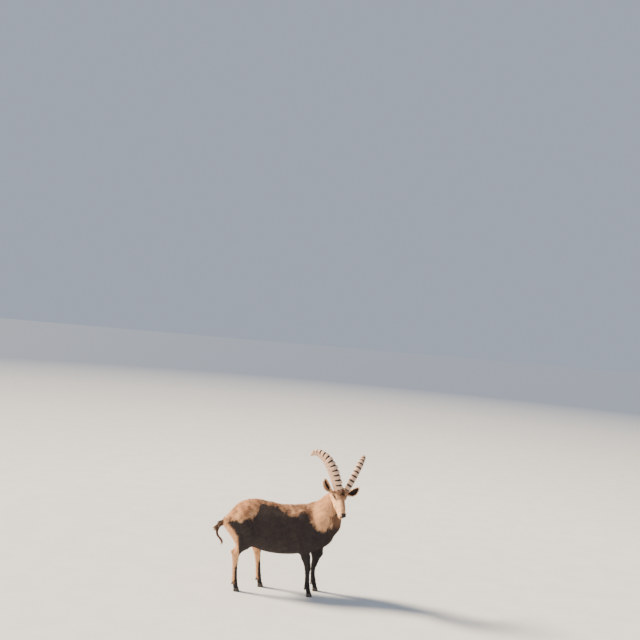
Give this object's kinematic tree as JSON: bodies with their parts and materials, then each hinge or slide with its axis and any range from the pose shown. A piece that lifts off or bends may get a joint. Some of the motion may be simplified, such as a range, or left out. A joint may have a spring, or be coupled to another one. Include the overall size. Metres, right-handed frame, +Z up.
{
  "type": "alpine ibex figure",
  "caption": "Life-size still figure of a male alpine ibex in moulting summer coat, standing broadside with its horned head turned to its right.",
  "frame": {"origin": "on the floor under the middle of the whole animal's bounding box", "axes": "+X towards the chest, +Y towards the animal's left side, +Z up from the floor"},
  "size_m": [1.514, 0.5426, 1.5185],
  "materials": {
    "coat_back": "matte",
    "coat_flank": "matte",
    "coat_face": "matte",
    "coat_leg": "matte",
    "horn": "satin",
    "claw": "satin",
    "eye": "gloss"
  },
  "bodies": {
    "root": {"rump": "coat_back", "belly": "coat_flank", "chest": "coat_flank", "neck_lower": "coat_back", "neck_upper": "coat_back", "head": "coat_face", "ear_right": "coat_face", "ear_left": "coat_face", "eye_right": "eye", "eye_left": "eye", "horn_right": "horn", "horn_left": "horn", "tail": "coat_leg", "leg_fore_right_upper": "coat_leg", "leg_fore_right_lower": "coat_leg", "leg_fore_left_upper": "coat_leg", "leg_fore_left_lower": "coat_leg", "leg_hind_right_upper": "coat_leg", "leg_hind_right_lower": "coat_leg", "leg_hind_left_upper": "coat_leg", "leg_hind_left_lower": "coat_leg", "claw_fore_right_right": "claw", "claw_fore_right_left": "claw", "claw_fore_left_right": "claw", "claw_fore_left_left": "claw", "claw_hind_right_right": "claw", "claw_hind_right_left": "claw", "claw_hind_left_right": "claw", "claw_hind_left_left": "claw", "dewclaw_fore_right_right": "claw", "dewclaw_fore_right_left": "claw", "dewclaw_fore_left_right": "claw", "dewclaw_fore_left_left": "claw", "dewclaw_hind_right_right": "claw", "dewclaw_hind_right_left": "claw", "dewclaw_hind_left_right": "claw", "dewclaw_hind_left_left": "claw"}
  },
  "joints": []
}
